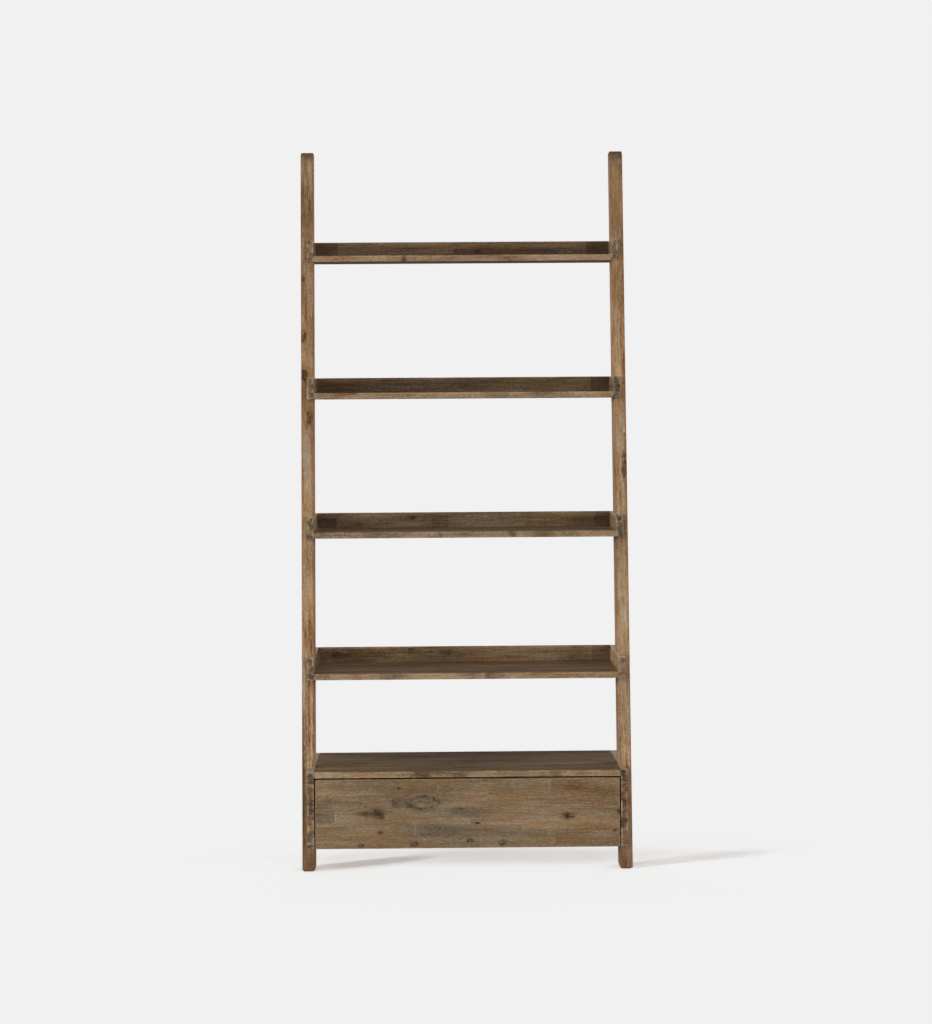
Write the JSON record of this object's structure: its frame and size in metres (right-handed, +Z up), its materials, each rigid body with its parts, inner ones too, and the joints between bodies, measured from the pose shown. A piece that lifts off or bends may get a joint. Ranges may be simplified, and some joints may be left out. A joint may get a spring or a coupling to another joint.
{
  "type": "ladder shelf",
  "caption": "Leaning ladder shelf of weathered solid wood: two raked posts carry open trays that deepen downwards and a box with a sliding drawer at the foot.",
  "frame": {"origin": "on the floor, midway across the width and midway from the box front to the wall", "axes": "+Z up, +Y towards the wall, +X to the right of someone who faces the shelf"},
  "size_m": [0.9, 0.4, 1.975],
  "materials": {
    "weathered_acacia": "brushed and greyed acacia, glued up from short staves, matt",
    "drawer_wood": "planed acacia, bare",
    "dowel_beech": "fluted beech",
    "zinc_steel": "zinc-plated cold-rolled steel",
    "screw_steel": "zinc-plated screw",
    "ball_steel": "polished steel balls in a pressed steel cage",
    "foot_rubber": "matt black rubber"
  },
  "bodies": {
    "frame": {"left_post": "weathered_acacia", "right_post": "weathered_acacia", "left_foot_pad": "foot_rubber", "right_foot_pad": "foot_rubber", "lower_tray_shelf": "weathered_acacia", "lower_tray_back": "weathered_acacia", "lower_tray_left_side": "weathered_acacia", "lower_tray_right_side": "weathered_acacia", "middle_tray_shelf": "weathered_acacia", "middle_tray_back": "weathered_acacia", "middle_tray_left_side": "weathered_acacia", "middle_tray_right_side": "weathered_acacia", "upper_tray_shelf": "weathered_acacia", "upper_tray_back": "weathered_acacia", "upper_tray_left_side": "weathered_acacia", "upper_tray_right_side": "weathered_acacia", "top_tray_shelf": "weathered_acacia", "top_tray_back": "weathered_acacia", "top_tray_left_side": "weathered_acacia", "top_tray_right_side": "weathered_acacia", "box_top": "weathered_acacia", "box_back": "weathered_acacia", "box_left_side": "weathered_acacia", "box_right_side": "weathered_acacia", "left_slide_cabinet_member": "zinc_steel", "right_slide_cabinet_member": "zinc_steel", "left_wall_hanger": "zinc_steel", "right_wall_hanger": "zinc_steel", "post_screws": "screw_steel", "post_plugs": "weathered_acacia", "shelf_dowels": "dowel_beech", "back_dowels": "dowel_beech", "hanger_screws": "screw_steel", "slide_cabinet_screws": "screw_steel"},
    "drawer": {"drawer_front": "weathered_acacia", "drawer_box_front": "drawer_wood", "drawer_left_side": "drawer_wood", "drawer_right_side": "drawer_wood", "drawer_back": "drawer_wood", "drawer_bottom": "drawer_wood", "left_slide_drawer_member": "zinc_steel", "right_slide_drawer_member": "zinc_steel", "drawer_dowels": "dowel_beech", "drawer_front_screws": "screw_steel", "slide_drawer_screws": "screw_steel"},
    "slide_middles": {"left_slide_middle_member": "zinc_steel", "right_slide_middle_member": "zinc_steel"},
    "outer_ball_cages": {"slide_outer_ball_cages": "ball_steel"},
    "inner_ball_cages": {"slide_inner_ball_cages": "ball_steel"}
  },
  "joints": [
    {"name": "drawer_slide", "type": "slide", "parent": "frame", "child": "drawer", "axis": [0, -1, 0], "range_m": [0, 0.33]},
    {"name": "middle_slide", "type": "slide", "parent": "frame", "child": "slide_middles", "axis": [0, -1, 0], "range_m": [0, 0.165]},
    {"name": "outer_cage_slide", "type": "slide", "parent": "frame", "child": "outer_ball_cages", "axis": [0, -1, 0], "range_m": [0, 0.0825]},
    {"name": "inner_cage_slide", "type": "slide", "parent": "frame", "child": "inner_ball_cages", "axis": [0, -1, 0], "range_m": [0, 0.2475]}
  ],
  "couplings": [
    {"joint": "middle_slide", "follows": "drawer_slide", "ratio": 0.5},
    {"joint": "outer_cage_slide", "follows": "drawer_slide", "ratio": 0.25},
    {"joint": "inner_cage_slide", "follows": "drawer_slide", "ratio": 0.75}
  ]
}
